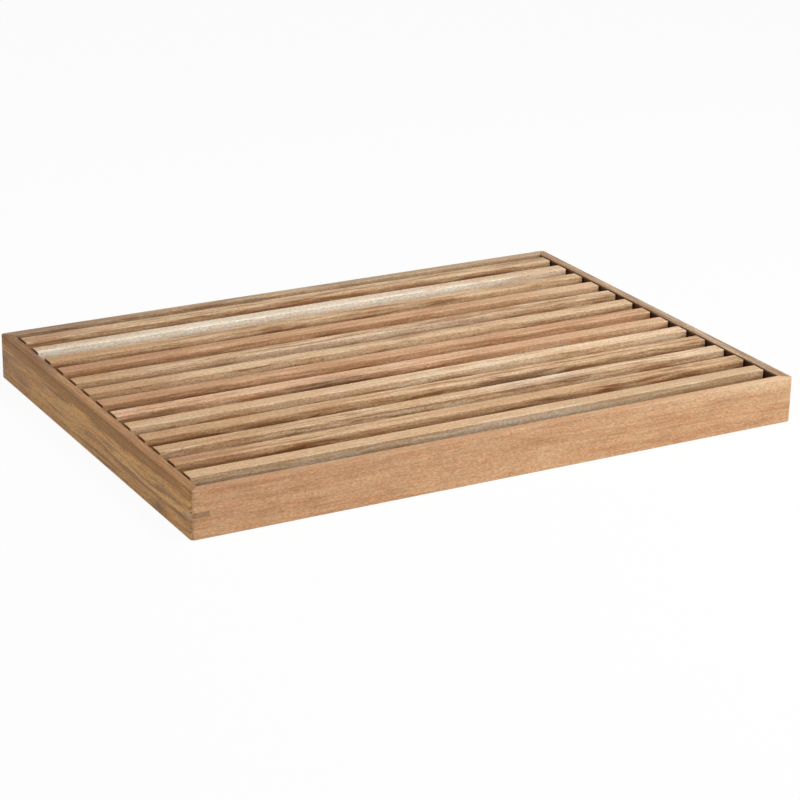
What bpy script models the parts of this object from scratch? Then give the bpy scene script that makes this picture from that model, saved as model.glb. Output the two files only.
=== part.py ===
"""A slatted bread board: a shallow crumb tray with a lift-out grid of slats.

The tray is four mitred rails round a floor panel that sits in a groove, with a thin spline let into each
corner. The grid is a row of slats, screwed from below to two bearers. The bearers stand on the floor
panel and hold the slats' tops level with the rim, so crumbs drop between the slats and the grid lifts out
to empty the tray.

Sizes are in metres. +Z is up, the long side lies along X, the front faces -Y, and the origin is on the
ground under the middle of the tray.
"""

import math

import bmesh
import bpy
from mathutils import Vector

# The whole board
BOARD_LENGTH = 0.420
BOARD_DEPTH = 0.300
BOARD_HEIGHT = 0.030

# Clearances: a glued joint, a piece resting on another, and a screw in its hole
GLUE_GAP = 0.0003
SEAT_GAP = 0.0003
SCREW_CLEARANCE = 0.0003

# The rails of the tray
RAIL_THICKNESS = 0.007
RAIL_ARRIS = 0.0005
CORNER_RADIUS = 0.0026

# The splines let into the corners, measured along each outer face
SPLINE_LEG = 0.0115
SPLINE_THICKNESS = 0.0033

# The floor panel and the groove that holds it
PANEL_THICKNESS = 0.004
PANEL_LIP = 0.003
PANEL_PLAY = 0.0005
GROOVE_DEPTH = 0.003

# The slats
SLAT_COUNT = 13
SLAT_WIDTH = 0.0102
SLAT_THICKNESS = 0.010
SLAT_ARRIS = 0.0007
SLAT_END_CLEARANCE = 0.0016

# The two bearers under the slats
BEARER_WIDTH = 0.016
BEARER_INSET = 0.070
BEARER_ARRIS = 0.0008
BEARER_PLAY = 0.007
BEARER_BARE_END = 0.0062

# The screws that hold the slats to the bearers
SCREW_RADIUS = 0.0015
SCREW_HEAD_RADIUS = 0.0028
SCREW_HEAD_RIM = 0.0004
SCREW_CONE_HEIGHT = 0.0014
SCREW_HEAD_SINK = 0.0004
SCREW_POINT_LENGTH = 0.0025
SCREW_COVER = 0.0032

# How finely round shapes are cut, and how far a cutter runs past what it cuts
ARRIS_STEPS = 2
CORNER_STEPS = 4
SCREW_SIDES = 12
OVERRUN = 0.002

# Heights, from the ground up
groove_height = PANEL_THICKNESS + 2 * GLUE_GAP
panel_bottom = PANEL_LIP + GLUE_GAP
floor_top = panel_bottom + PANEL_THICKNESS
bearer_bottom = floor_top + SEAT_GAP
slat_bottom = BOARD_HEIGHT - SLAT_THICKNESS
bearer_height = slat_bottom - SEAT_GAP - bearer_bottom

# The tray seen from above
inner_length = BOARD_LENGTH - 2 * RAIL_THICKNESS
inner_depth = BOARD_DEPTH - 2 * RAIL_THICKNESS
panel_length = inner_length + 2 * (GROOVE_DEPTH - PANEL_PLAY)
panel_depth = inner_depth + 2 * (GROOVE_DEPTH - PANEL_PLAY)
spline_middle = BOARD_HEIGHT / 2

# The grid seen from above: it lies against the rear rail, and its slats are evenly spread
slat_length = inner_length - 2 * SLAT_END_CLEARANCE
bearer_length = inner_depth - BEARER_PLAY
bearer_x = slat_length / 2 - BEARER_INSET
grid_y = inner_depth / 2 - SEAT_GAP - bearer_length / 2
slats_depth = bearer_length - 2 * BEARER_BARE_END
slat_pitch = (slats_depth - SLAT_WIDTH) / (SLAT_COUNT - 1)
slat_places = [slats_depth / 2 - SLAT_WIDTH / 2 - slat_pitch * n for n in range(SLAT_COUNT)]

# The screws, from the bearer's underside up
hole_depth = bearer_height + SEAT_GAP + SLAT_THICKNESS - SCREW_COVER
screw_length = hole_depth - SCREW_CLEARANCE - SCREW_HEAD_SINK

# Linear colours of the woods, from pale sapwood to dark heartwood, and of the steel
CREAM = (0.80, 0.66, 0.47)
SAND = (0.62, 0.45, 0.28)
TAN = (0.51, 0.32, 0.17)
ROSE = (0.56, 0.29, 0.16)
BROWN = (0.38, 0.20, 0.10)
STEEL = (0.60, 0.58, 0.52)
SLAT_COLOURS = (TAN, CREAM, TAN, ROSE, TAN, SAND, ROSE, ROSE, SAND, TAN, SAND, BROWN, CREAM)


def material(name, colour, roughness, metallic=0.0):
    made = bpy.data.materials.new(name)
    made.use_nodes = True
    shader = made.node_tree.nodes["Principled BSDF"]
    shader.inputs["Base Color"].default_value = (*colour, 1.0)
    shader.inputs["Roughness"].default_value = roughness
    shader.inputs["Metallic"].default_value = metallic
    return made


def wood(name, colour):
    return material(name, colour, roughness=0.6)


def empty(name, location):
    made = bpy.data.objects.new(name, None)
    made.location = location
    bpy.context.scene.collection.objects.link(made)
    return made


def piece(name, mesh, look, parent, location, turn=0.0):
    """A named object of this mesh, turned about its own upright axis and placed under its parent."""
    made = bpy.data.objects.new(name, mesh)
    made.location = location
    made.rotation_euler = (0, 0, turn)
    made.parent = parent
    made.material_slots[0].link = "OBJECT"
    made.material_slots[0].material = look
    bpy.context.scene.collection.objects.link(made)
    return made


def block(length, depth, height):
    """A block standing on Z = 0, centred on X and Y."""
    bm = bmesh.new()
    bmesh.ops.create_cube(bm, size=1.0)
    bmesh.ops.scale(bm, vec=(length, depth, height), verts=bm.verts)
    bmesh.ops.translate(bm, vec=(0, 0, height / 2), verts=bm.verts)
    return bm


def prism(outline, bottom, top):
    """The area inside these (x, y) points, counter-clockwise, from one height to another."""
    bm = bmesh.new()
    lower = [bm.verts.new((x, y, bottom)) for x, y in outline]
    upper = [bm.verts.new((x, y, top)) for x, y in outline]
    bm.faces.new(upper)
    bm.faces.new(reversed(lower))
    for i, start in enumerate(lower):
        after = (i + 1) % len(lower)
        bm.faces.new((start, lower[after], upper[after], upper[i]))
    return bm


def turned(profile):
    """A round solid about Z from (radius, height) points, from the bottom up, whose ends are closed."""
    bm = bmesh.new()
    angles = [2 * math.pi * side / SCREW_SIDES for side in range(SCREW_SIDES)]
    rings = []
    for radius, height in profile:
        if radius:
            rings.append([bm.verts.new((radius * math.cos(a), radius * math.sin(a), height)) for a in angles])
        else:
            rings.append([bm.verts.new((0, 0, height))])
    for lower, upper in zip(rings, rings[1:]):
        for side in range(SCREW_SIDES):
            after = (side + 1) % SCREW_SIDES
            around = [lower[side % len(lower)], lower[after % len(lower)], upper[after % len(upper)],
                      upper[side % len(upper)]]
            bm.faces.new(dict.fromkeys(around))
    for ring, forward in ((rings[0], False), (rings[-1], True)):
        if len(ring) > 1:
            bm.faces.new(ring if forward else reversed(ring))
    return bm


def soften(bm, radius, edges):
    """Rounds these edges off."""
    bmesh.ops.bevel(bm, geom=list(edges), offset=radius, segments=ARRIS_STEPS, profile=0.5, affect="EDGES")


def slice_off(bm, point, outward):
    """Removes what lies beyond this plane, and closes the cut."""
    geometry = bm.verts[:] + bm.edges[:] + bm.faces[:]
    cut = bmesh.ops.bisect_plane(bm, geom=geometry, plane_co=point, plane_no=outward, clear_outer=True)
    rim = [part for part in cut["geom_cut"] if isinstance(part, bmesh.types.BMEdge)]
    bmesh.ops.edgeloop_fill(bm, edges=rim)


def round_corner(bm, corner_x, side):
    """Rounds the upright corner at (corner_x, 0) by cuts along an arc; side is 1 at the +X end and -1 at the other."""
    centre = Vector((corner_x - side * CORNER_RADIUS, CORNER_RADIUS, 0))
    step = math.pi / 2 / CORNER_STEPS
    for chord in range(CORNER_STEPS):
        start = chord * step
        middle = start + step / 2
        on_arc = centre + CORNER_RADIUS * Vector((side * math.sin(start), -math.cos(start), 0))
        slice_off(bm, on_arc, Vector((side * math.sin(middle), -math.cos(middle), 0)))


def mesh_of(name, bm):
    bmesh.ops.recalc_face_normals(bm, faces=bm.faces)
    mesh = bpy.data.meshes.new(name)
    bm.to_mesh(mesh)
    bm.free()
    mesh.materials.append(None)
    return mesh


def cut_mesh(name, bm, cutters):
    """The mesh that is left when each of these cutters is taken from it."""
    body = bpy.data.objects.new(name, mesh_of(name, bm))
    bpy.context.scene.collection.objects.link(body)
    helpers = [body]
    for number, cutter in enumerate(cutters):
        helper = bpy.data.objects.new(f"{name}_cutter_{number}", mesh_of(f"{name}_cutter", cutter))
        helper.hide_render = True
        helper.display_type = "WIRE"
        bpy.context.scene.collection.objects.link(helper)
        helpers.append(helper)
        boolean = body.modifiers.new("cut", "BOOLEAN")
        boolean.operation = "DIFFERENCE"
        boolean.object = helper
    bpy.context.view_layer.update()
    graph = bpy.context.evaluated_depsgraph_get()
    result = bpy.data.meshes.new_from_object(body.evaluated_get(graph))
    for helper in helpers:
        bpy.data.objects.remove(helper)
    result.name = name
    result.shade_smooth()
    result.set_sharp_from_angle(angle=math.radians(40))
    return result


def groove_cutter(length):
    """The groove for the floor panel, along the inner face of a rail of this length."""
    bm = block(length, GROOVE_DEPTH + OVERRUN, groove_height)
    middle = RAIL_THICKNESS - GROOVE_DEPTH + (GROOVE_DEPTH + OVERRUN) / 2
    bmesh.ops.translate(bm, vec=(0, middle, PANEL_LIP), verts=bm.verts)
    return bm


def slot_cutter(corner_x, side):
    """The slot for a spline across the corner at (corner_x, 0): a triangle with a glue gap all round."""
    leg = SPLINE_LEG + GLUE_GAP * math.sqrt(2)
    outline = [
        (corner_x + side * OVERRUN, -OVERRUN),
        (corner_x + side * OVERRUN, leg + OVERRUN),
        (corner_x - side * (leg + OVERRUN), -OVERRUN),
    ]
    half = SPLINE_THICKNESS / 2 + GLUE_GAP
    return prism(outline[::side], spline_middle - half, spline_middle + half)


def rail_mesh(name, length):
    """A rail along X with its outer face on Y = 0, its inner face towards +Y and a mitre at each end."""
    bm = block(length, RAIL_THICKNESS, BOARD_HEIGHT)
    bmesh.ops.translate(bm, vec=(0, RAIL_THICKNESS / 2, 0), verts=bm.verts)
    soften(bm, RAIL_ARRIS, [e for e in bm.edges if abs((e.verts[1].co - e.verts[0].co).normalized().x) > 0.9])
    cutters = [groove_cutter(length)]
    for side in (-1, 1):
        corner_x = side * length / 2
        mitre = Vector((side, 1, 0)).normalized()
        slice_off(bm, Vector((corner_x, 0, 0)) - mitre * GLUE_GAP / 2, mitre)
        round_corner(bm, corner_x, side)
        cutters.append(slot_cutter(corner_x, side))
    return cut_mesh(name, bm, cutters)


def spline_mesh(name):
    """A corner key with its outer corner at the origin and its faces along -X and +Y, rounded as the frame is."""
    outline = [(0, 0), (0, SPLINE_LEG), (-SPLINE_LEG, 0)]
    bm = prism(outline, -SPLINE_THICKNESS / 2, SPLINE_THICKNESS / 2)
    round_corner(bm, 0, 1)
    return mesh_of(name, bm)


def slat_mesh(name):
    """A slat along X with rounded edges, standing on Z = 0, with a blind screw hole over each bearer."""
    bm = block(slat_length, SLAT_WIDTH, SLAT_THICKNESS)
    soften(bm, SLAT_ARRIS, bm.edges)
    holes = []
    for side in (-1, 1):
        radius = SCREW_RADIUS + SCREW_CLEARANCE
        hole = turned([(radius, -OVERRUN), (radius, SLAT_THICKNESS - SCREW_COVER)])
        bmesh.ops.translate(hole, vec=(side * bearer_x, 0, 0), verts=hole.verts)
        holes.append(hole)
    return cut_mesh(name, bm, holes)


def screw_hole(places):
    """The countersunk holes through a bearer, one at each of these distances along Y."""
    radius = SCREW_RADIUS + SCREW_CLEARANCE
    mouth = SCREW_HEAD_RADIUS + SCREW_CLEARANCE
    cone_start = SCREW_HEAD_SINK + SCREW_HEAD_RIM
    holes = []
    for place in places:
        hole = turned([(mouth, -OVERRUN), (mouth, cone_start), (radius, cone_start + SCREW_CONE_HEIGHT),
                       (radius, bearer_height + OVERRUN)])
        bmesh.ops.translate(hole, vec=(0, place, 0), verts=hole.verts)
        holes.append(hole)
    return holes


def bearer_mesh(name):
    """A bearer along Y, standing on Z = 0, with a countersunk hole under each slat."""
    bm = block(BEARER_WIDTH, bearer_length, bearer_height)
    soften(bm, BEARER_ARRIS, bm.edges)
    return cut_mesh(name, bm, screw_hole(slat_places))


def screw_mesh(name):
    """A countersunk screw that points up, with its head on Z = 0."""
    mesh = mesh_of(name, turned([
        (SCREW_HEAD_RADIUS, 0),
        (SCREW_HEAD_RADIUS, SCREW_HEAD_RIM),
        (SCREW_RADIUS, SCREW_HEAD_RIM + SCREW_CONE_HEIGHT),
        (SCREW_RADIUS, screw_length - SCREW_POINT_LENGTH),
        (0, screw_length),
    ]))
    mesh.shade_smooth()
    mesh.set_sharp_from_angle(angle=math.radians(40))
    return mesh


def make_tray(tray):
    """The rails, the splines in their corners and the floor panel."""
    long_rail = rail_mesh("long_rail", BOARD_LENGTH)
    short_rail = rail_mesh("short_rail", BOARD_DEPTH)
    long_look = wood("long_rail_wood", SAND)
    short_look = wood("short_rail_wood", TAN)
    piece("front_rail", long_rail, long_look, tray, (0, -BOARD_DEPTH / 2, 0))
    piece("rear_rail", long_rail, long_look, tray, (0, BOARD_DEPTH / 2, 0), math.pi)
    piece("left_rail", short_rail, short_look, tray, (-BOARD_LENGTH / 2, 0, 0), -math.pi / 2)
    piece("right_rail", short_rail, short_look, tray, (BOARD_LENGTH / 2, 0, 0), math.pi / 2)

    spline = spline_mesh("corner_spline")
    spline_look = wood("spline_wood", CREAM)
    corners = {"front_left": (-1, -1, -90), "front_right": (1, -1, 0), "rear_right": (1, 1, 90), "rear_left": (-1, 1, 180)}
    for corner, (x_side, y_side, degrees) in corners.items():
        place = (x_side * BOARD_LENGTH / 2, y_side * BOARD_DEPTH / 2, spline_middle)
        piece(f"corner_spline_{corner}", spline, spline_look, tray, place, math.radians(degrees))

    panel = mesh_of("floor_panel", block(panel_length, panel_depth, PANEL_THICKNESS))
    piece("base_panel", panel, wood("panel_wood", SAND), tray, (0, 0, panel_bottom))


def make_grid(grid):
    """The slats, the bearers under them and the screws between."""
    slat_up = slat_bottom - bearer_bottom
    slat = slat_mesh("slat")
    screw = screw_mesh("screw")
    screw_look = material("screw_steel", STEEL, roughness=0.35, metallic=1.0)
    for number, (place, colour) in enumerate(zip(slat_places, SLAT_COLOURS), start=1):
        piece(f"slat_{number:02d}", slat, wood(f"slat_{number:02d}_wood", colour), grid, (0, place, slat_up))

    bearer = bearer_mesh("bearer")
    bearer_look = wood("bearer_wood", TAN)
    for side, word in ((-1, "left"), (1, "right")):
        piece(f"bearer_{word}", bearer, bearer_look, grid, (side * bearer_x, 0, 0))
        for number, place in enumerate(slat_places, start=1):
            piece(f"screw_{word}_{number:02d}", screw, screw_look, grid, (side * bearer_x, place, SCREW_HEAD_SINK))


def main():
    for old in list(bpy.data.objects):
        bpy.data.objects.remove(old)
    make_tray(empty("tray", (0, 0, 0)))
    make_grid(empty("grid", (0, grid_y, bearer_bottom)))


main()
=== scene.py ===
import math
from collections import namedtuple

import bmesh
import bpy
from mathutils import Matrix, Vector, noise


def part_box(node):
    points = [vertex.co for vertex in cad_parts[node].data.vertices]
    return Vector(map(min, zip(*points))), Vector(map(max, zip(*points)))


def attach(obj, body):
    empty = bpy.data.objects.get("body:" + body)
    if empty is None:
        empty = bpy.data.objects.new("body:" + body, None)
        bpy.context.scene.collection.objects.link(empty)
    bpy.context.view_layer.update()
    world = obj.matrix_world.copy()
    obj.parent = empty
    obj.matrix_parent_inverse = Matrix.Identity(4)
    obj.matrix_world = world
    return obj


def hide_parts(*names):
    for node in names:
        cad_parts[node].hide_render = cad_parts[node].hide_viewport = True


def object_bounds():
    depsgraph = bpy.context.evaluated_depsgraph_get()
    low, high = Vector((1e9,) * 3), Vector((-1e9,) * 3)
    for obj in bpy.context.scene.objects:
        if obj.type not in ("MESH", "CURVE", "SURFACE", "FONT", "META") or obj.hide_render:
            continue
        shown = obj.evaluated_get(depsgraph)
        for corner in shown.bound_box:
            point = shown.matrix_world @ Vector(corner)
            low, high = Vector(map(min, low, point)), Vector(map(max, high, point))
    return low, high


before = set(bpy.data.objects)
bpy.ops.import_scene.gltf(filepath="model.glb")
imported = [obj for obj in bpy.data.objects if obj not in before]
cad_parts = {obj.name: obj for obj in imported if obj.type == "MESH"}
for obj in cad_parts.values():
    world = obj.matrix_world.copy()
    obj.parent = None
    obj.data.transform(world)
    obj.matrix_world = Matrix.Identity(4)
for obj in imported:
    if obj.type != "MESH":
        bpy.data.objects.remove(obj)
CAD_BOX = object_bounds()

MM = 0.001

# The photograph's camera: its place in metres, and its heading, fall and roll in degrees
CAMERA_PLACE = Vector((-0.74260, -1.33193, 0.57665))
CAMERA_HEADING = 29.390
CAMERA_FALL = 20.746
CAMERA_ROLL = 1.066
CAMERA_LENS = 112.77
SENSOR_WIDTH = 36
CLIP_START = 0.05
CLIP_END = 100

# Fits between pieces, finer than the solids keep
MITRE_LINE = 0.05 * MM
GLUE_LINE = 0.10 * MM
GROOVE_PLAY = 0.3 * MM

# The rounding of edges
RAIL_ARRIS = 0.5 * MM
CORNER_RADIUS = 2.6 * MM
SLAT_ARRIS = 0.55 * MM
SLAT_CORNER = 0.6 * MM
BEARER_ARRIS = 0.8 * MM
PANEL_ARRIS = 0.4 * MM

# How finely round shapes are cut, and how sharp an edge, in degrees, stays sharp
ARRIS_STEPS = 5
BEARER_ARRIS_STEPS = 3
PANEL_ARRIS_STEPS = 2
CORNER_STEPS = 6
CORNER_MARGIN = 1 * MM
SLAT_SPANS = 30
RAIL_SPANS = 24
HOLE_SIDES = 32
SHARP_ANGLE = 40
OVERRUN = 2 * MM
TOLERANCE = 0.1 * MM

# How far a slat's edges wander and its top is worn, and over what length
WANDER = 0.18 * MM
WEAR = 0.12 * MM
WANDER_LENGTH = 90 * MM
WANDER_SEED_STEP = 5.3
WEAR_SEED_STEP = 7.1

# The screws
SHANK_RADIUS = 1.5 * MM
SCREW_CLEARANCE = 0.3 * MM
HEAD_SINK = 0.4 * MM
HEAD_ARRIS = 0.1 * MM
HEAD_UNDERSIDE_SHARE = 0.97
HEAD_RIM = 0.4 * MM
HEAD_CONE = 1.4 * MM
PLAIN_SHANK = 1.5 * MM
THREAD_PITCH = 1.3 * MM
THREAD_DEPTH = 0.4 * MM
THREAD_SIDES = 16
THREAD_STEPS = 6
POINT_LENGTH = 2.5 * MM
POINT_SHARE = 0.12
POINT_TIP = 0.2 * MM
RECESS_REACH_SHARE = 0.62
RECESS_WIDTH = 0.55 * MM
RECESS_DEPTH = 1.1 * MM
RECESS_TAPER_SHARE = 0.6
SCREW_TURN = 37

# Soft light from all round, and each lamp's place, width and height in metres and its power in watts
WORLD_LIGHT = 0.25
LAMPS = {
    "key": ((0.34, -0.44, 1.03), 0.8, 0.8, 10.4),
    "right fill": ((0.95, -1.10, 0.40), 0.5, 0.25, 4.5),
    "front fill": ((-0.15, -1.50, 0.38), 0.8, 0.25, 2.0),
    "left fill": ((-1.30, -0.20, 0.40), 0.6, 0.30, 1.4),
}
FLOOR_TONE = (0.80, 0.80, 0.80)
FLOOR_WHITE_SHARE = 0.95
FLOOR_REACH = 15.0
FLOOR_DROP = 0.1 * MM


def linear(tone):
    """The linear colour of a tone written as red, green and blue from 0 to 255."""
    shares = [channel / 255 for channel in tone]
    return tuple(s / 12.92 if s <= 0.04045 else ((s + 0.055) / 1.055) ** 2.4 for s in shares)


# The woods' tones, from pale sapwood to dark heartwood
MILK = linear((254, 244, 226))
CREAM = linear((246, 230, 208))
BISCUIT = linear((224, 198, 170))
IVORY = linear((236, 212, 184))
STRAW = linear((230, 199, 162))
SAND = linear((217, 182, 143))
WHEAT = linear((209, 171, 131))
TAN = linear((195, 153, 110))
APRICOT = linear((222, 178, 142))
ROSE = linear((202, 157, 118))
GOLD = linear((236, 186, 120))
HONEY = linear((222, 166, 102))
AMBER = linear((165, 112, 48))
ASH = linear((171, 148, 124))
CLAY = linear((178, 130, 92))
BROWN = linear((152, 110, 74))
# UMBER also darkens the end grain, partly as painted shade
UMBER = linear((112, 74, 44))
# COFFEE is also the painted shade on the rails' inner faces
COFFEE = linear((70, 42, 22))


class Signal:
    """An output socket that can stand in sums: an operator adds the node that works it out."""

    def __init__(self, nodes, socket):
        self.nodes = nodes
        self.socket = socket
        self.is_vector = socket.type == "VECTOR"

    def as_vector(self):
        """A colour output taken as a vector in sums."""
        self.is_vector = True
        return self

    def sum_of(self, operation, first, second):
        if self.is_vector:
            values = [(v,) * 3 if isinstance(v, (int, float)) else v for v in (first, second)]
            return self.nodes.add("ShaderNodeVectorMath", {"operation": operation}, dict(enumerate(values)))
        return self.nodes.add("ShaderNodeMath", {"operation": operation}, {0: first, 1: second})

    def __add__(self, other):
        return self.sum_of("ADD", self, other)

    def __sub__(self, other):
        return self.sum_of("SUBTRACT", self, other)

    def __rsub__(self, other):
        return self.sum_of("SUBTRACT", other, self)

    def __mul__(self, other):
        return self.sum_of("MULTIPLY", self, other)

    def __truediv__(self, other):
        return self.sum_of("DIVIDE", self, other)

    __radd__ = __add__
    __rmul__ = __mul__


class Nodes:
    """A material's or the world's node tree, which any node is added to in one way."""

    def __init__(self, owner):
        owner.use_nodes = True
        self.tree = owner.node_tree
        self.tree.nodes.clear()

    def add(self, kind, settings=None, inputs=None, output=0):
        """A node of this kind with its settings made first, then its inputs set or linked."""
        node = self.tree.nodes.new(kind)
        for name, value in (settings or {}).items():
            if name == "stops":
                self.set_stops(node.color_ramp, value)
            else:
                setattr(node, name, value)
        for name, value in (inputs or {}).items():
            if isinstance(value, Signal):
                self.tree.links.new(value.socket, node.inputs[name])
            else:
                node.inputs[name].default_value = value
        return Signal(self, node.outputs[output]) if node.outputs else None

    def set_stops(self, ramp, stops):
        while len(ramp.elements) < len(stops):
            ramp.elements.new(1.0)
        for element, (place, colour) in zip(ramp.elements, stops):
            element.position = place
            element.color = (*colour, 1.0)

    def ranged(self, value, low, high, to_low=0.0, to_high=1.0, smooth=False):
        """value, with low to high stretched to to_low to to_high, and held there past them."""
        shape = "SMOOTHSTEP" if smooth else "LINEAR"
        ends = {"Value": value, "From Min": low, "From Max": high, "To Min": to_low, "To Max": to_high}
        return self.add("ShaderNodeMapRange", {"interpolation_type": shape}, ends)

    def noise(self, place, cell, detail=1.0, roughness=0.5, output="Fac"):
        """Noise whose cells have these sizes, in the units of the place."""
        inputs = {"Vector": place / cell, "Scale": 1.0, "Detail": detail, "Roughness": roughness}
        return self.add("ShaderNodeTexNoise", {}, inputs, output)

    def mixed(self, share, first, second, blend="MIX"):
        """Two colours mixed: first at a share of 0, and second at 1."""
        inputs = {"Factor": share}
        for socket, colour in ((6, first), (7, second)):
            inputs[socket] = colour if isinstance(colour, Signal) else (*colour, 1.0)
        return self.add("ShaderNodeMix", {"data_type": "RGBA", "blend_type": blend}, inputs, 2)

    def length_of(self, vector):
        return self.add("ShaderNodeVectorMath", {"operation": "LENGTH"}, {0: vector}, "Value")

    def parts_of(self, vector):
        made = self.add("ShaderNodeSeparateXYZ", {}, {0: vector})
        return [Signal(self, socket) for socket in made.socket.node.outputs]

    def joined(self, x, y, z):
        return self.add("ShaderNodeCombineXYZ", {}, {0: x, 1: y, 2: z})


# A soft-edged streak of another tone, in millimetres along the piece's own axes: from start to end along it,
# centred at a distance across and up, with its half width and half height
Mark = namedtuple("Mark", "start end across up half_width half_height tone strength")

# A distance past the end of every piece, for a mark all along it
WHOLE = 900

# A wood's tones and how strongly it is figured, its marks, the height below which it lies in painted shade,
# and the distance across at which its inner face begins, which is given painted shade
Wood = namedtuple("Wood", "pale body dark figure marks shade_height inner_face", defaults=[(), None, None])

# The cells of the wood's figure in millimetres: along the grain, across it and up
DRIFT_CELL = (70, 22, 22)
LAYER_CELL = (260, 1.7, 1)
STREAK_CELL = (34, 1.5, 1.5)
STREAK_ROUGHNESS = 0.62
CLOUD_CELL = (38, 8, 8)
FIBRE_CELL = (9, 0.45, 0.45)
SPECKLE_CELL = (1.9, 0.85, 0.85)
PORE_CELL = (3.2, 0.4, 0.4)
HUE_CELL = (17, 5, 5)
HUE_START = (680, 200, 200)

# Where each seed's cut lies in the tree, how far the grain drifts, and where the tree's heart is
SEED_STEP = Vector((731, 57, 91))
LAYER_SEED_STEP = 3.7
DRIFT = (0, 7, 7)
HEART_ACROSS = 26
HEART_UP = -31

# How much each kind of figure counts in the tone, and at which tones the wood is dark, middling and pale
FIGURE_WEIGHT = 1.5
CLOUD_WEIGHT = 0.9
FIBRE_WEIGHT = 0.5
SPECKLE_WEIGHT = 0.85
PORE_WEIGHT = 0.6
MARK_EDGE_WEIGHT = 1.8
MARK_WANDER = 0.5
MARK_FULL = 0.35
MARK_GONE = 1.25
PORE_START = 0.64
PORE_FULL = 0.74
DARK_TONE = 0.14
BODY_TONE = 0.5
PALE_TONE = 0.84
HUE_RANGE = (0.35, 0.65)
ROSY_TINT = (1.0, 0.955, 0.925)
GREEN_TINT = (0.965, 1.0, 0.985)
END_GRAIN_FACING = (0.6, 0.95)
END_GRAIN_AND_SHADE_WEIGHT = 0.6

# The shade on the slats' sides: below which height from their underside it begins, how deep its edge is, how
# far clouds and streaks shift it, and its tint
GAP_SHADE = 6.0
SHADE_EDGE = 1.6
SHADE_CLOUDS = 8.0
SHADE_STREAKS = 3.0
SHADE_TINT = (0.76, 0.65, 0.52)

# Painted shade on the rails' inner faces: its soft edge, the heights between which it darkens, and how much
INNER_FACE_SHADE_EDGE = 0.3
INNER_FACE_SHADE_HEIGHTS = (29.6, 28.4)
INNER_FACE_SHADE_WEIGHT = 0.9

# The relief of the grain, and how rough and how glossy the oiled wood is
BUMP_STRENGTH = 0.35
BUMP_HEIGHT = 0.08 * MM
RELIEF_FIBRES = 0.5
RELIEF_STREAKS = 0.3
RELIEF_PORES = 0.8
SMOOTHEST = 0.46
ROUGHEST = 0.62
ROUGHNESS_RANGE = (0.3, 0.8)
GLOSS = 0.2

# The cell of the steel's blotches in millimetres, its two tones, and how rough it is
BLOTCH_CELL = 1.1
BLOTCH_RANGE = (0.3, 0.7)
STEEL_DULL = (0.52, 0.50, 0.44)
STEEL_BRIGHT = (0.66, 0.65, 0.60)
STEEL_ROUGHNESS = (0.26, 0.42)


def marked(nodes, colour, marks, local, wander, streaks):
    """colour with these marks on it, whose feathered edges follow the grain."""
    for mark in marks:
        middle = ((mark.start + mark.end) / 2, mark.across, mark.up)
        reach = ((mark.end - mark.start) / 2, mark.half_width, mark.half_height)
        offset = (local + wander * MARK_WANDER - middle) / reach
        distance = nodes.length_of(offset) + (streaks - 0.5) * MARK_EDGE_WEIGHT
        inside = nodes.ranged(distance, MARK_FULL, MARK_GONE, 1.0, 0.0, smooth=True)
        colour = nodes.mixed(inside * mark.strength, colour, mark.tone)
    return colour


def shaded(nodes, colour, wood, local, clouds, streaks):
    """colour with painted shade, darker and warmer where the wood lies deep between the pieces."""
    _, across, height = nodes.parts_of(local)
    if wood.shade_height is not None:
        lowered = height + (clouds - 0.5) * SHADE_CLOUDS + (streaks - 0.5) * SHADE_STREAKS
        deepest = wood.shade_height - SHADE_EDGE
        shade = nodes.ranged(lowered, deepest, wood.shade_height, 1.0, 0.0, smooth=True)
        colour = nodes.mixed(shade, colour, SHADE_TINT, "MULTIPLY")
    # Painted shade on a rail's inner face, below its rim
    if wood.inner_face is not None:
        reached = nodes.ranged(across, wood.inner_face - INNER_FACE_SHADE_EDGE, wood.inner_face)
        inside = reached * nodes.ranged(height, *INNER_FACE_SHADE_HEIGHTS)
        colour = nodes.mixed(inside * INNER_FACE_SHADE_WEIGHT, colour, COFFEE)
    return colour


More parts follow.
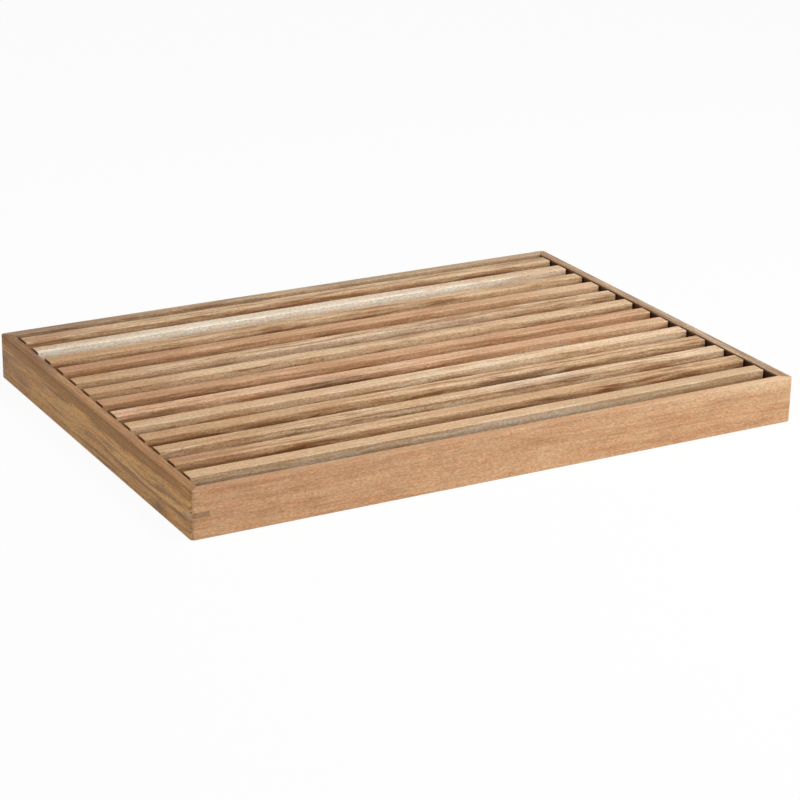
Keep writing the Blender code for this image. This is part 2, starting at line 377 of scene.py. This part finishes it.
def wood_material(name, wood, seed, grain="X"):
    """Oiled solid wood with its grain along the piece's own X or Y axis and another figure for each seed."""
    material = bpy.data.materials.new(name)
    nodes = Nodes(material)
    local = nodes.add("ShaderNodeTexCoord", output="Object") * (1 / MM)
    if grain == "Y":
        across, along, up = nodes.parts_of(local)
        local = nodes.joined(along, across, up)
    cut = SEED_STEP * seed
    placed = local + tuple(cut)

    # Slow drift of the grain, so that no line runs quite straight
    wander = (nodes.noise(placed, DRIFT_CELL, detail=2.0, output="Color").as_vector() - 0.5) * DRIFT
    drifted = placed + wander

    # Growth layers round a distant heart, then streaks, clouds, fibres and pores along the grain
    _, across, up = nodes.parts_of(drifted - (0, cut.y + HEART_ACROSS, cut.z + HEART_UP))
    ring = nodes.length_of(nodes.joined(0.0, across, up))
    along, _, _ = nodes.parts_of(drifted)
    layers = nodes.noise(nodes.joined(along, ring, seed * LAYER_SEED_STEP), LAYER_CELL, detail=2.0)
    streaks = nodes.noise(drifted, STREAK_CELL, detail=3.0, roughness=STREAK_ROUGHNESS)
    clouds = nodes.noise(placed, CLOUD_CELL, detail=2.0)
    fibres = nodes.noise(drifted, FIBRE_CELL, detail=2.0)
    speckle = nodes.noise(drifted, SPECKLE_CELL)
    pores = nodes.ranged(nodes.noise(drifted, PORE_CELL, detail=0.0), PORE_START, PORE_FULL)

    figure = ((layers - 0.5) + (streaks - 0.5)) * (FIGURE_WEIGHT * wood.figure)
    tone = 0.5 + figure + (clouds - 0.5) * CLOUD_WEIGHT + (fibres - 0.5) * FIBRE_WEIGHT
    stops = [(DARK_TONE, wood.dark), (BODY_TONE, wood.body), (PALE_TONE, wood.pale)]
    colour = nodes.add("ShaderNodeValToRGB", {"stops": stops}, {0: tone})
    colour = marked(nodes, colour, wood.marks, local, wander, streaks)
    colour = nodes.mixed(pores * PORE_WEIGHT, colour, wood.dark)

    # Rosier and greener clouds, and a fine grain of light and dark
    hue = nodes.ranged(nodes.noise(placed + HUE_START, HUE_CELL, detail=2.0), *HUE_RANGE)
    tint = nodes.mixed(hue, ROSY_TINT, GREEN_TINT)
    colour = nodes.mixed(1.0, colour, tint, "MULTIPLY")
    colour = nodes.mixed(1.0, colour, 1.0 + (speckle - 0.5) * SPECKLE_WEIGHT, "MULTIPLY")
    colour = shaded(nodes, colour, wood, local, clouds, streaks)

    # End grain drinks more oil, and is darkened further as painted shade for the narrow gaps at the slats'
    # ends
    normal = nodes.add("ShaderNodeTexCoord", output="Normal")
    facing = nodes.parts_of(nodes.add("ShaderNodeVectorMath", {"operation": "ABSOLUTE"}, {0: normal}))
    end_grain_and_shade = nodes.ranged(facing["XY".index(grain)], *END_GRAIN_FACING)
    colour = nodes.mixed(end_grain_and_shade * END_GRAIN_AND_SHADE_WEIGHT, colour, UMBER)

    relief = fibres * RELIEF_FIBRES + streaks * RELIEF_STREAKS - pores * RELIEF_PORES
    bump_inputs = {"Strength": BUMP_STRENGTH, "Distance": BUMP_HEIGHT, "Height": relief}
    bump = nodes.add("ShaderNodeBump", {}, bump_inputs)
    rough = nodes.ranged(streaks + pores * RELIEF_STREAKS, *ROUGHNESS_RANGE, SMOOTHEST, ROUGHEST)
    shader = nodes.add("ShaderNodeBsdfPrincipled", {}, {
        "Base Color": colour, "Roughness": rough, "Normal": bump, "Specular IOR Level": GLOSS,
    })
    nodes.add("ShaderNodeOutputMaterial", {}, {"Surface": shader})
    return material


def steel_material(name):
    """Bright zinc-plated steel, a little blotchy."""
    material = bpy.data.materials.new(name)
    nodes = Nodes(material)
    local = nodes.add("ShaderNodeTexCoord", output="Object") * (1 / MM)
    blotches = nodes.noise(local, BLOTCH_CELL, detail=3.0)
    stops = list(zip(BLOTCH_RANGE, (STEEL_DULL, STEEL_BRIGHT)))
    colour = nodes.add("ShaderNodeValToRGB", {"stops": stops}, {0: blotches})
    rough = nodes.ranged(blotches, *BLOTCH_RANGE, *STEEL_ROUGHNESS)
    shader = nodes.add("ShaderNodeBsdfPrincipled", {}, {
        "Base Color": colour, "Metallic": 1.0, "Roughness": rough,
    })
    nodes.add("ShaderNodeOutputMaterial", {}, {"Surface": shader})
    return material


def mesh_of(name, bm):
    bmesh.ops.recalc_face_normals(bm, faces=bm.faces)
    mesh = bpy.data.meshes.new(name)
    bm.to_mesh(mesh)
    bm.free()
    return mesh


def cut_away(mesh, cutters):
    """mesh without what each of these cutters covers."""
    body = bpy.data.objects.new(mesh.name, mesh)
    bpy.context.scene.collection.objects.link(body)
    helpers = [body]
    for cutter in cutters:
        helper = bpy.data.objects.new("cutter", mesh_of("cutter", cutter))
        bpy.context.scene.collection.objects.link(helper)
        helpers.append(helper)
        boolean = body.modifiers.new("cut", "BOOLEAN")
        boolean.operation = "DIFFERENCE"
        boolean.object = helper
    bpy.context.view_layer.update()
    graph = bpy.context.evaluated_depsgraph_get()
    result = bpy.data.meshes.new_from_object(body.evaluated_get(graph))
    result.name = mesh.name
    for helper in helpers:
        bpy.data.objects.remove(helper)
    return result


def smooth(mesh):
    """Shades mesh smooth, with its sharp edges kept sharp."""
    mesh.shade_smooth()
    mesh.set_sharp_from_angle(angle=math.radians(SHARP_ANGLE))


def piece(node, mesh, material, body, place=(0, 0, 0), turn=0.0):
    """A piece that stands for a node of the frame, at its place."""
    made = bpy.data.objects.new(f"{node}_piece", mesh)
    made.location = place
    made.rotation_euler = (0, 0, turn)
    bpy.context.scene.collection.objects.link(made)
    if not mesh.materials:
        mesh.materials.append(None)
    made.material_slots[0].link = "OBJECT"
    made.material_slots[0].material = material
    normals = made.modifiers.new("flat faces stay flat", "WEIGHTED_NORMAL")
    normals.keep_sharp = True
    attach(made, body)
    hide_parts(node)
    return made


def block(length, depth, height, bottom=0.0):
    """A block centred on X and Y, standing at this height."""
    bm = bmesh.new()
    bmesh.ops.create_cube(bm, size=1.0)
    bmesh.ops.scale(bm, vec=(length, depth, height), verts=bm.verts)
    bmesh.ops.translate(bm, vec=(0, 0, bottom + height / 2), verts=bm.verts)
    return bm


def rounded(bm, radius, edges, steps=ARRIS_STEPS):
    bmesh.ops.bevel(bm, geom=list(edges), offset=radius, segments=steps, profile=0.5, affect="EDGES")


def cut_loops(bm, places, axis):
    """Adds an edge loop at each of these distances along the axis."""
    for place in places:
        geometry = bm.verts[:] + bm.edges[:] + bm.faces[:]
        bmesh.ops.bisect_plane(bm, geom=geometry, plane_co=axis * place, plane_no=axis)


def turned(profile, sides=HOLE_SIDES):
    """A round solid about Z from (radius, height) points, from the bottom up, whose ends are closed."""
    bm = bmesh.new()
    angles = [2 * math.pi * side / sides for side in range(sides)]
    rings = [[bm.verts.new((r * math.cos(a), r * math.sin(a), z)) for a in angles] for r, z in profile]
    for lower, upper in zip(rings, rings[1:]):
        for side in range(sides):
            after = (side + 1) % sides
            bm.faces.new((lower[side], lower[after], upper[after], upper[side]))
    bm.faces.new(reversed(rings[0]))
    bm.faces.new(rings[-1])
    return bm


def prism(outline, bottom, top):
    """The area inside these (x, y) points, counter-clockwise, from one height to another."""
    bm = bmesh.new()
    lower = [bm.verts.new((x, y, bottom)) for x, y in outline]
    upper = [bm.verts.new((x, y, top)) for x, y in outline]
    bm.faces.new(upper)
    bm.faces.new(reversed(lower))
    for i, start in enumerate(lower):
        after = (i + 1) % len(lower)
        bm.faces.new((start, lower[after], upper[after], upper[i]))
    return bm


def arc(centre, radius, start, end, steps=ARRIS_STEPS):
    """Points along an arc, by angles in degrees."""
    angles = [math.radians(start + (end - start) * step / steps) for step in range(steps + 1)]
    return [(centre[0] + radius * math.cos(a), centre[1] + radius * math.sin(a)) for a in angles]


class Tray:
    """Sizes of the tray, read from the frame."""

    low, high = CAD_BOX
    length = high.x - low.x
    depth = high.y - low.y
    height = high.z - low.z
    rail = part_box("front_rail")[1].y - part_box("front_rail")[0].y
    spline_low, spline_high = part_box("corner_spline_front_right")
    spline_leg = spline_high.x - spline_low.x
    panel_low, panel_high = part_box("base_panel")


def rail_section(thickness):
    """(distance in from the outer face, height) points round a rail, from its lower outer edge."""
    r = RAIL_ARRIS
    groove_bottom = Tray.panel_low.z - GROOVE_PLAY
    groove_top = Tray.panel_high.z + GROOVE_PLAY
    groove_back = Tray.depth / 2 - Tray.panel_high.y - 2 * GROOVE_PLAY
    return [
        *arc((r, r), r, 270, 180),
        *arc((r, Tray.height - r), r, 180, 90),
        *arc((thickness - r, Tray.height - r), r, 90, 0),
        (thickness, groove_top),
        (groove_back, groove_top),
        (groove_back, groove_bottom),
        (thickness, groove_bottom),
        *arc((thickness - r, r), r, 0, -90),
    ]


def corner_point(depth, share, half, start):
    """Where a line this deep in the rail is round the corner at +X, from a share of 0 to the mitre at 1."""
    if depth < CORNER_RADIUS:
        angle = math.radians(45 * share)
        reach = CORNER_RADIUS - depth
        return half - CORNER_RADIUS + reach * math.sin(angle), CORNER_RADIUS - reach * math.cos(angle)
    return start + (half - depth - start) * share, depth


def rail_mesh(name, length):
    """A rail along X with its outer face on Y = 0, a mitre at each end and the tray's rounded corners."""
    half = length / 2
    start = half - Tray.rail - CORNER_MARGIN
    section = rail_section(Tray.rail)
    bm = bmesh.new()
    loops = []
    for step in range(CORNER_STEPS, -1, -1):
        places = [corner_point(d, step / CORNER_STEPS, half, start) for d, _ in section]
        loops.append([bm.verts.new((MITRE_LINE - x, y, z)) for (x, y), (_, z) in zip(places, section)])
    for span in range(RAIL_SPANS + 1):
        x = (span / RAIL_SPANS * 2 - 1) * (start - CORNER_MARGIN)
        loops.append([bm.verts.new((x, d, z)) for d, z in section])
    for step in range(CORNER_STEPS + 1):
        places = [corner_point(d, step / CORNER_STEPS, half, start) for d, _ in section]
        loops.append([bm.verts.new((x - MITRE_LINE, y, z)) for (x, y), (_, z) in zip(places, section)])
    for first, second in zip(loops, loops[1:]):
        for i in range(len(section)):
            after = (i + 1) % len(section)
            bm.faces.new((first[i], first[after], second[after], second[i]))
    bm.faces.new(loops[0])
    bm.faces.new(reversed(loops[-1]))
    mesh = mesh_of(name, bm)

    leg = Tray.spline_leg + GLUE_LINE * math.sqrt(2)
    half_slot = (Tray.spline_high.z - Tray.spline_low.z) / 2 + GLUE_LINE
    middle = (Tray.spline_high.z + Tray.spline_low.z) / 2
    cutters = []
    for side in (-1, 1):
        outline = [
            (side * (half + OVERRUN), -OVERRUN),
            (side * (half + OVERRUN), leg + OVERRUN),
            (side * (half - leg - OVERRUN), -OVERRUN),
        ]
        cutters.append(prism(outline[::side], middle - half_slot, middle + half_slot))
    mesh = cut_away(mesh, cutters)
    smooth(mesh)
    return mesh


def spline_mesh():
    """A corner key with its outer corner at the origin and its faces along -X and +Y."""
    leg = Tray.spline_leg
    half = (Tray.spline_high.z - Tray.spline_low.z) / 2
    centre = (-CORNER_RADIUS, CORNER_RADIUS)
    outline = [(-leg, 0), *arc(centre, CORNER_RADIUS, -90, 0, 2 * CORNER_STEPS), (0, leg)]
    mesh = mesh_of("corner_spline", prism(outline, -half, half))
    smooth(mesh)
    return mesh


def is_level(edge):
    first, second = edge.verts
    return abs(first.co.z - second.co.z) < TOLERANCE


def is_ridge(edge):
    return len(edge.link_faces) == 2 and edge.calc_face_angle(0) > math.radians(SHARP_ANGLE)


def slat_blank(size, hole_x, hole_radius, hole_depth):
    """A slat along X on Z = 0 with rounded edges, and a blind screw hole over each bearer."""
    bm = block(*size)
    rounded(bm, SLAT_CORNER, [edge for edge in bm.edges if not is_level(edge)])
    rounded(bm, SLAT_ARRIS, [edge for edge in bm.edges if is_level(edge) and is_ridge(edge)])
    reach = size.x / 2 - 2 * SLAT_CORNER
    places = [(span / SLAT_SPANS * 2 - 1) * reach for span in range(SLAT_SPANS + 1)]
    holes = []
    for x in hole_x:
        hole = turned([(hole_radius, -OVERRUN), (hole_radius, hole_depth)])
        bmesh.ops.translate(hole, vec=(x, 0, 0), verts=hole.verts)
        holes.append(hole)
    cut_loops(bm, places, Vector((1, 0, 0)))
    return cut_away(mesh_of("slat", bm), holes)


def hand_planed(blank, name, seed, thickness):
    """A slat of its own from the blank, whose edges wander and whose top is worn a little."""
    mesh = blank.copy()
    mesh.name = name
    for vertex in mesh.vertices:
        x, _, z = vertex.co
        along = x / WANDER_LENGTH
        sideways = noise.noise((along, seed * WANDER_SEED_STEP, 0.0)) * WANDER
        worn = (0.5 + 0.5 * noise.noise((along, 0.0, seed * WEAR_SEED_STEP))) * WEAR
        vertex.co.y += sideways
        vertex.co.z -= worn * max(0.0, z / thickness - 0.5) * 2
    smooth(mesh)
    return mesh


def slat_wood(pale, body, dark, figure, *marks):
    return Wood(pale, body, dark, figure, list(marks), GAP_SHADE)


# Each slat's darker mark over its whole section at the left end is painted shade, for light falling off
# towards the left
SLAT_WOODS = {
    "slat_01": slat_wood(STRAW, SAND, BROWN, 0.9,
                         # Painted shade: the left end darker, as the light falls off towards the left
                         Mark(-260, -140, 0, 6, 9, 9, CLAY, 0.7),
                         Mark(-WHOLE, WHOLE, -6, 4, 3.5, 6, BROWN, 0.6),
                         Mark(-40, 230, -6, 2, 3.5, 6.5, CLAY, 0.8),
                         Mark(90, 190, -6, 4, 2.5, 3, UMBER, 0.7)),
    "slat_02": Wood(MILK, MILK, CREAM, 0.5, [
        Mark(-WHOLE, WHOLE, 3, 11, 9, 3.5, BISCUIT, 0.75),
        Mark(-330, -130, 3, 10, 7, 3, WHEAT, 0.85),
        Mark(60, 330, 3, 10, 8, 3, WHEAT, 0.8),
        Mark(130, 330, -3, 6, 8, 9, SAND, 0.8),
    ]),
    "slat_03": slat_wood(STRAW, WHEAT, BROWN, 0.7,
                         # Painted shade: the left end darker, as the light falls off towards the left
                         Mark(-280, -110, 0, 8, 9, 9, TAN, 0.8),
                         Mark(-260, -20, -6, 3, 3, 5, CLAY, 0.7)),
    "slat_04": slat_wood(APRICOT, ROSE, CLAY, 0.7,
                         # Painted shade: the left end darker, as the light falls off towards the left
                         Mark(-280, -90, 0, 8, 9, 9, CLAY, 0.6),
                         Mark(-260, -20, -6, 3, 3, 6, BROWN, 0.6),
                         Mark(110, 290, 0, 8, 9, 9, STRAW, 0.7)),
    "slat_05": slat_wood(IVORY, SAND, BROWN, 0.8,
                         # Painted shade: the left end darker, as the light falls off towards the left
                         Mark(-280, -130, 0, 8, 9, 9, TAN, 0.8),
                         Mark(-120, 130, -6, 8, 3, 4, IVORY, 0.6)),
    "slat_06": slat_wood(STRAW, SAND, BROWN, 0.8,
                         # Painted shade: the left end darker, as the light falls off towards the left
                         Mark(-280, -120, 0, 8, 9, 9, TAN, 0.8),
                         Mark(60, 260, -6, 4, 3, 5, CLAY, 0.6)),
    "slat_07": slat_wood(APRICOT, ROSE, CLAY, 0.8,
                         # Painted shade: the left end darker, as the light falls off towards the left
                         Mark(-280, -100, 0, 8, 9, 9, CLAY, 0.5),
                         Mark(-260, -20, -6, 3, 3.5, 7, BROWN, 0.9)),
    "slat_08": slat_wood(STRAW, APRICOT, CLAY, 0.7,
                         Mark(-215, -130, -6, 4, 3, 5, BROWN, 0.8),
                         Mark(-100, -15, -6, 4, 3.5, 7, UMBER, 0.9),
                         Mark(-40, 40, -6, 4, 3, 5, CLAY, 0.6),
                         Mark(10, 90, -5, 5, 3, 5, CLAY, 0.5),
                         Mark(10, 260, 0, 9, 9, 5, ROSE, 0.6)),
    "slat_09": slat_wood(IVORY, STRAW, TAN, 0.8,
                         # Painted shade: the left half darker, as the light falls off towards the left
                         Mark(-300, 30, 0, 8, 9, 9, WHEAT, 0.75)),
    "slat_10": slat_wood(STRAW, WHEAT, BROWN, 1.0,
                         # Painted shade: the left end darker, as the light falls off towards the left
                         Mark(-330, -10, 0, 9, 9, 5, TAN, 0.8),
                         Mark(-230, -70, -6, 4, 3, 5, BROWN, 0.8),
                         Mark(-150, -90, -6, 5, 2, 1.5, COFFEE, 0.7),
                         Mark(10, 105, -6, 5, 3, 6, UMBER, 0.7),
                         Mark(70, 230, -6, 4, 3, 5, BROWN, 0.7)),
    "slat_11": slat_wood(IVORY, SAND, BROWN, 0.8,
                         # Painted shade: the left end darker, as the light falls off towards the left
                         Mark(-280, -80, 0, 8, 9, 9, TAN, 0.7),
                         Mark(10, 110, 2, 11, 8, 3.5, CREAM, 0.3),
                         Mark(-60, 20, 2, 11, 8, 3.5, WHEAT, 0.9),
                         Mark(80, 230, -6, 3, 3, 5, CLAY, 0.5)),
    "slat_12": slat_wood(SAND, WHEAT, BROWN, 0.9,
                         # Painted shade: the left end darker, as the light falls off towards the left
                         Mark(-280, -130, 0, 8, 9, 9, CLAY, 0.8),
                         Mark(-50, 100, 1, 11, 8, 3.5, TAN, 0.6),
                         Mark(-200, 240, -6, 4, 3, 6, BROWN, 0.5),
                         Mark(20, 110, -6, 4, 2.5, 4, UMBER, 0.6)),
    "slat_13": Wood(IVORY, SAND, TAN, 0.8, [
        Mark(-WHOLE, WHOLE, 1, 11, 9, 3.5, WHEAT, 0.85),
        Mark(-10, 330, 1, 11, 9, 3.5, ASH, 0.3),
        Mark(-40, 95, -6, 6, 3, 6, IVORY, 0.7),
        Mark(110, 260, -6, 4, 3, 6, TAN, 0.6),
    ]),
}


def rail_wood(pale, body, dark, figure, *marks, inner_face=Tray.rail / MM):
    return Wood(pale, body, dark, figure, list(marks), None, inner_face)


RAIL_WOODS = {
    "front_rail": rail_wood(WHEAT, ROSE, CLAY, 0.5,
                            Mark(90, 320, 0, 31, 9, 7, STRAW, 0.6),
                            Mark(-500, 120, 3.5, 31, 9, 5, CLAY, 0.3)),
    "rear_rail": rail_wood(SAND, ASH, BROWN, 0.8,
                           Mark(-330, -10, 3.5, 31, 9, 6, SAND, 0.4),
                           Mark(20, 170, 3.5, 31, 9, 6, BROWN, 0.4),
                           Mark(60, 330, 7, 20, 2.5, 12, UMBER, 0.7),
                           inner_face=None),
    "left_rail": rail_wood(GOLD, HONEY, BROWN, 1.0,
                           Mark(-400, 400, 3.5, 31, 9, 5, CLAY, 0.8),
                           Mark(-400, -30, 3.5, 31, 9, 5, UMBER, 0.9),
                           Mark(20, 400, 3.5, 31, 9, 5, UMBER, 0.5),
                           Mark(-260, 200, 0.6, 29.5, 2.4, 3.0, UMBER, 0.5),
                           Mark(-400, 400, 0, 26, 3, 5, AMBER, 0.8),
                           Mark(-400, -70, 0, 14, 4, 14, CLAY, 0.9),
                           Mark(90, 150, 0, 17, 3, 2, BROWN, 0.7),
                           Mark(50, 120, 0, 10, 3, 1.5, CLAY, 0.9),
                           Mark(-120, -10, 0, 21, 3, 1.2, UMBER, 0.6),
                           Mark(-30, 60, 0, 5, 3, 1.2, BROWN, 0.7)),
    "right_rail": rail_wood(SAND, ASH, BROWN, 0.9,
                            Mark(20, 290, 3.5, 31, 9, 5, BROWN, 0.5)),
}
SPLINE_WOOD = Wood(SAND, WHEAT, CLAY, 0.6)
PANEL_WOOD = Wood(WHEAT, TAN, BROWN, 0.9)
BEARER_WOOD = Wood(TAN, CLAY, BROWN, 0.9)

# The slats have the seeds 1 to 13, and the other woods these
FIRST_RAIL_SEED = 20
SPLINE_SEED = 30
PANEL_SEED = 31
BEARER_SEEDS = {"left": 40, "right": 41}


def make_tray():
    long_rail = rail_mesh("long_rail", Tray.length)
    short_rail = rail_mesh("short_rail", Tray.depth)
    half_length, half_depth = Tray.length / 2, Tray.depth / 2
    rails = {
        "front_rail": (long_rail, "long_rail_wood", (0, -half_depth, 0), 0),
        "rear_rail": (long_rail, "long_rail_wood", (0, half_depth, 0), 180),
        "left_rail": (short_rail, "short_rail_wood", (-half_length, 0, 0), -90),
        "right_rail": (short_rail, "short_rail_wood", (half_length, 0, 0), 90),
    }
    for seed, (node, (mesh, slot, place, degrees)) in enumerate(rails.items(), start=FIRST_RAIL_SEED):
        look = wood_material(f"{node}_wood", RAIL_WOODS[node], seed)
        piece(node, mesh, look, "tray", place, math.radians(degrees))

    spline = spline_mesh()
    look = wood_material("spline_wood", SPLINE_WOOD, SPLINE_SEED)
    middle = (Tray.spline_high.z + Tray.spline_low.z) / 2
    corners = {
        "front_left": (-1, -1, -90),
        "front_right": (1, -1, 0),
        "rear_right": (1, 1, 90),
        "rear_left": (-1, 1, 180),
    }
    for corner, (x_side, y_side, degrees) in corners.items():
        place = (x_side * half_length, y_side * half_depth, middle)
        piece(f"corner_spline_{corner}", spline, look, "tray", place, math.radians(degrees))

    size = Tray.panel_high - Tray.panel_low
    bm = block(*size)
    rounded(bm, PANEL_ARRIS, bm.edges[:], PANEL_ARRIS_STEPS)
    panel = mesh_of("floor_panel", bm)
    smooth(panel)
    look = wood_material("panel_wood", PANEL_WOOD, PANEL_SEED)
    piece("base_panel", panel, look, "tray", (0, 0, Tray.panel_low.z))


def middle_of(node):
    low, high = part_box(node)
    return (low + high) / 2


def screw_mesh(shank, head, length):
    """A countersunk screw that points up with its head on Z = 0, with a thread and a cross recess."""
    thread_start = HEAD_RIM + HEAD_CONE + PLAIN_SHANK
    rows = [
        (head * HEAD_UNDERSIDE_SHARE, 0.0),
        (head, HEAD_ARRIS),
        (head, HEAD_RIM),
        (shank, HEAD_RIM + HEAD_CONE),
    ]
    row_height = THREAD_PITCH / THREAD_STEPS
    bm = bmesh.new()
    angles = [2 * math.pi * side / THREAD_SIDES for side in range(THREAD_SIDES)]
    rings = [[(r, z)] * THREAD_SIDES for r, z in rows]
    count = int((length - POINT_TIP - thread_start) / row_height)
    for row in range(count + 1):
        z = thread_start + row * row_height
        taper = min(1.0, (length - z) / POINT_LENGTH)
        ring = []
        for side in range(THREAD_SIDES):
            turn = (row / THREAD_STEPS + side / THREAD_SIDES) % 1.0
            ridge = max(0.0, 1 - abs(turn - 0.5) * 4)
            starting = min(1.0, row / THREAD_STEPS)
            radius = shank - THREAD_DEPTH * (1 - ridge) * starting
            ring.append((radius * (POINT_SHARE + (1 - POINT_SHARE) * taper), z))
        rings.append(ring)
    made = []
    for ring in rings:
        made.append([bm.verts.new((r * math.cos(a), r * math.sin(a), z)) for a, (r, z) in zip(angles, ring)])
    for lower, upper in zip(made, made[1:]):
        for side in range(THREAD_SIDES):
            after = (side + 1) % THREAD_SIDES
            bm.faces.new((lower[side], lower[after], upper[after], upper[side]))
    bm.faces.new(reversed(made[0]))
    tip = bm.verts.new((0, 0, length))
    for side in range(THREAD_SIDES):
        bm.faces.new((made[-1][side], made[-1][(side + 1) % THREAD_SIDES], tip))
    mesh = mesh_of("screw", bm)

    recess_length = 2 * head * RECESS_REACH_SHARE
    recess = []
    for size in ((recess_length, RECESS_WIDTH), (RECESS_WIDTH, recess_length)):
        bar = block(*size, RECESS_DEPTH + OVERRUN, -OVERRUN)
        for vertex in bar.verts:
            if vertex.co.z > 0:
                vertex.co.xy *= RECESS_TAPER_SHARE
        recess.append(bar)
    mesh = cut_away(mesh, recess)
    smooth(mesh)
    return mesh


def bearer_mesh(low, high, places, shank, head):
    """A bearer along Y on Z = 0, with a countersunk hole under each slat."""
    size = high - low
    bm = block(*size)
    rounded(bm, BEARER_ARRIS, bm.edges[:], BEARER_ARRIS_STEPS)
    hole, mouth = shank + SCREW_CLEARANCE, head + SCREW_CLEARANCE
    cone_start = HEAD_SINK + HEAD_RIM
    cone_end = cone_start + HEAD_CONE
    profile = [(mouth, -OVERRUN), (mouth, cone_start), (hole, cone_end), (hole, size.z + OVERRUN)]
    holes = []
    for place in places:
        cutter = turned(profile)
        bmesh.ops.translate(cutter, vec=(0, place, 0), verts=cutter.verts)
        holes.append(cutter)
    mesh = cut_away(mesh_of("bearer", bm), holes)
    smooth(mesh)
    return mesh


def make_grid():
    slats = sorted(SLAT_WOODS)
    low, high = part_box(slats[0])
    size = high - low
    screw_low, screw_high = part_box("screw_left_01")
    head = (screw_high.y - screw_low.y) / 2
    screw_length = screw_high.z - screw_low.z
    hole_x = [middle_of(f"bearer_{side}").x for side in ("left", "right")]
    hole_depth = screw_high.z + SCREW_CLEARANCE - low.z
    blank = slat_blank(size, hole_x, SHANK_RADIUS + SCREW_CLEARANCE, hole_depth)
    for number, node in enumerate(slats, start=1):
        mesh = hand_planed(blank, node, number, size.z)
        place = middle_of(node)
        look = wood_material(f"{node}_wood", SLAT_WOODS[node], number)
        piece(node, mesh, look, "grid", (place.x, place.y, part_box(node)[0].z))

    screw = screw_mesh(SHANK_RADIUS, head, screw_length)
    steel = steel_material("screw_steel")
    for side, seed in BEARER_SEEDS.items():
        node = f"bearer_{side}"
        low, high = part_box(node)
        middle = middle_of(node)
        places = [middle_of(f"screw_{side}_{number:02d}").y - middle.y for number in range(1, len(slats) + 1)]
        bearer = bearer_mesh(low, high, places, SHANK_RADIUS, head)
        look = wood_material(f"{node}_wood", BEARER_WOOD, seed, grain="Y")
        piece(node, bearer, look, "grid", (middle.x, middle.y, low.z))
        for number in range(1, len(slats) + 1):
            node = f"screw_{side}_{number:02d}"
            place = middle_of(node)
            piece(node, screw, steel, "grid", (place.x, place.y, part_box(node)[0].z),
                  math.radians(SCREW_TURN * number))


def make_camera():
    heading, fall, roll = (math.radians(a) for a in (CAMERA_HEADING, CAMERA_FALL, CAMERA_ROLL))
    ahead = Vector((math.sin(heading) * math.cos(fall), math.cos(heading) * math.cos(fall), -math.sin(fall)))
    level = Vector((math.cos(heading), -math.sin(heading), 0))
    upright = level.cross(ahead)
    right = level * math.cos(roll) + upright * math.sin(roll)
    up = upright * math.cos(roll) - level * math.sin(roll)
    data = bpy.data.cameras.new("camera")
    data.lens = CAMERA_LENS
    data.sensor_width = SENSOR_WIDTH
    data.clip_start = CLIP_START
    data.clip_end = CLIP_END
    camera = bpy.data.objects.new("camera", data)
    turn = Matrix((right, up, -ahead)).transposed()
    camera.matrix_world = Matrix.Translation(CAMERA_PLACE) @ turn.to_4x4()
    bpy.context.scene.collection.objects.link(camera)
    bpy.context.scene.camera = camera


def seen_directly(nodes):
    """1 where a ray comes from the camera or by a mirror or glass, and 0 where it carries the light."""
    path = nodes.add("ShaderNodeLightPath", output="Is Camera Ray")
    outputs = path.socket.node.outputs
    seen = path
    for name in ("Is Glossy Ray", "Is Transmission Ray"):
        other = Signal(nodes, outputs[name])
        seen = nodes.add("ShaderNodeMath", {"operation": "MAXIMUM"}, {0: seen, 1: other})
    return seen


def make_surroundings():
    """A white room: soft light from all round, and a pale floor that keeps a faint shadow."""
    world = bpy.data.worlds.new("studio")
    bpy.context.scene.world = world
    nodes = Nodes(world)
    light = nodes.add("ShaderNodeBackground", {}, {"Color": (1, 1, 1, 1), "Strength": WORLD_LIGHT})
    white = nodes.add("ShaderNodeBackground", {}, {"Color": (1, 1, 1, 1), "Strength": 1.0})
    both = nodes.add("ShaderNodeMixShader", {}, {0: seen_directly(nodes), 1: light, 2: white})
    nodes.add("ShaderNodeOutputWorld", {}, {"Surface": both})

    paper = bpy.data.materials.new("white_paper")
    nodes = Nodes(paper)
    matt = nodes.add("ShaderNodeBsdfDiffuse", {}, {"Color": (*FLOOR_TONE, 1)})
    white = nodes.add("ShaderNodeEmission", {}, {"Color": (1, 1, 1, 1), "Strength": 1.0})
    share = seen_directly(nodes) * FLOOR_WHITE_SHARE
    both = nodes.add("ShaderNodeMixShader", {}, {0: share, 1: matt, 2: white})
    nodes.add("ShaderNodeOutputMaterial", {}, {"Surface": both})
    bm = bmesh.new()
    bmesh.ops.create_grid(bm, x_segments=1, y_segments=1, size=FLOOR_REACH)
    floor = bpy.data.objects.new("floor", mesh_of("floor", bm))
    floor.data.materials.append(paper)
    floor.location.z = -FLOOR_DROP
    bpy.context.scene.collection.objects.link(floor)


def make_lamp(name, place, width, height, power):
    data = bpy.data.lights.new(name, "AREA")
    data.shape = "ELLIPSE"
    data.size = width
    data.size_y = height
    data.energy = power
    lamp = bpy.data.objects.new(name, data)
    lamp.location = place
    lamp.rotation_euler = (-Vector(place)).to_track_quat("-Z", "Y").to_euler()
    bpy.context.scene.collection.objects.link(lamp)


def main():
    make_camera()
    make_surroundings()
    for name, lamp in LAMPS.items():
        make_lamp(name, *lamp)
    make_tray()
    make_grid()
    bpy.context.scene.view_settings.view_transform = "Standard"


main()
